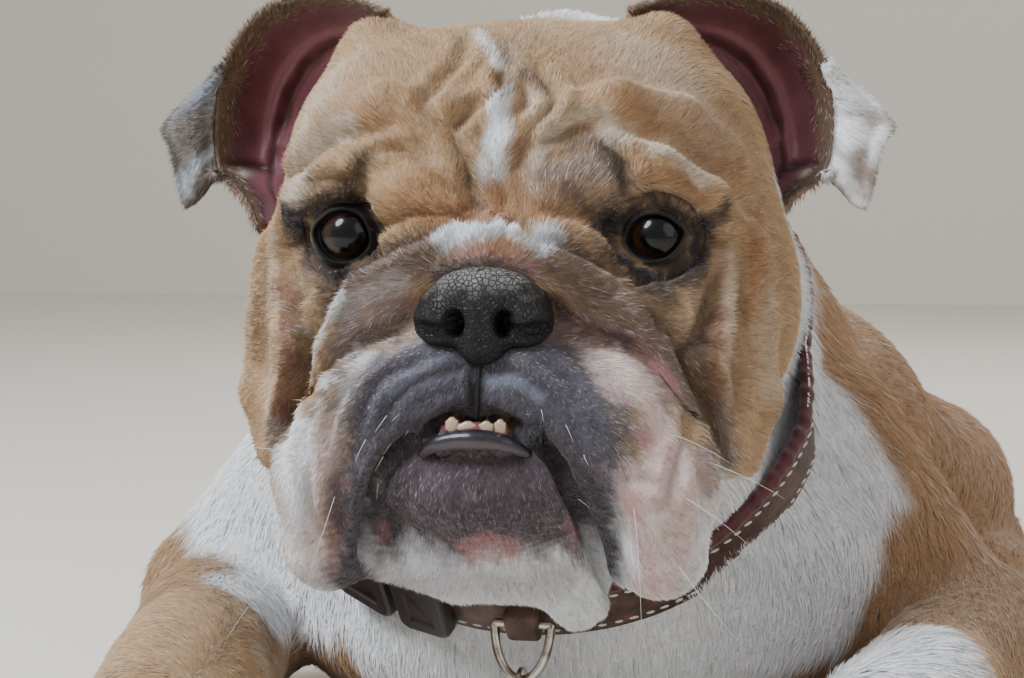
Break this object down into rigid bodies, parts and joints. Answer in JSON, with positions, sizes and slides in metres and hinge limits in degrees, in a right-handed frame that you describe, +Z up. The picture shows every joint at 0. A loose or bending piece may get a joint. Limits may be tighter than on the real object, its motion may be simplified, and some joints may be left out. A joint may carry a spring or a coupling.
{
  "type": "english bulldog",
  "caption": "Life-size still model of an English bulldog lying on its chest with head raised, wearing a stitched leather collar with a lead ring and a round tag.",
  "frame": {"origin": "on the floor, under the middle of the dog's length and width", "axes": "+Z up, +Y towards the tail, +X to the dog's left"},
  "size_m": [0.375, 0.7066, 0.2885],
  "materials": {
    "tan_coat": "short tan hair, darker in the folds",
    "white_coat": "short white hair",
    "muzzle_coat": "thin white hair over pink and grey skin",
    "dark_skin": "dark lip skin, slightly moist",
    "nose_leather": "charcoal, dry and cracked on top",
    "ear_skin": "thin ear, tan hair outside and bare pink skin inside",
    "eye": "wet dark brown",
    "tooth": "ivory, worn",
    "claw_horn": "dark horn",
    "collar_leather": "dark brown leather, stitched in white",
    "buckle_plastic": "dark brown moulded clasp",
    "ring_metal": "worn nickel plate",
    "tag_enamel": "pink enamel with small pale stones"
  },
  "bodies": {
    "root": {"eye_left": "eye", "eyelids_left": "dark_skin", "eye_right": "eye", "eyelids_right": "dark_skin", "lower_teeth": "tooth", "nose": "nose_leather", "chin": "dark_skin", "muzzle": "muzzle_coat", "head": "tan_coat", "ear_left": "ear_skin", "ear_right": "ear_skin", "collar": "collar_leather", "buckle_body": "buckle_plastic", "buckle_tongue": "buckle_plastic", "ring_keeper": "collar_leather", "d_ring": "ring_metal", "split_ring": "ring_metal", "tag": "tag_enamel", "neck": "white_coat", "front_paw_left": "white_coat", "forearm_left": "tan_coat", "upper_arm_left": "tan_coat", "hind_paw_left": "white_coat", "hind_foot_left": "tan_coat", "thigh_left": "tan_coat", "claw_front_left_1": "claw_horn", "claw_front_left_2": "claw_horn", "claw_front_left_3": "claw_horn", "claw_front_left_4": "claw_horn", "claw_hind_left_1": "claw_horn", "claw_hind_left_2": "claw_horn", "claw_hind_left_3": "claw_horn", "claw_hind_left_4": "claw_horn", "front_paw_right": "white_coat", "forearm_right": "tan_coat", "upper_arm_right": "tan_coat", "hind_paw_right": "white_coat", "hind_foot_right": "tan_coat", "thigh_right": "tan_coat", "claw_front_right_1": "claw_horn", "claw_front_right_2": "claw_horn", "claw_front_right_3": "claw_horn", "claw_front_right_4": "claw_horn", "claw_hind_right_1": "claw_horn", "claw_hind_right_2": "claw_horn", "claw_hind_right_3": "claw_horn", "claw_hind_right_4": "claw_horn", "tail": "tan_coat", "torso": "tan_coat"}
  },
  "joints": []
}
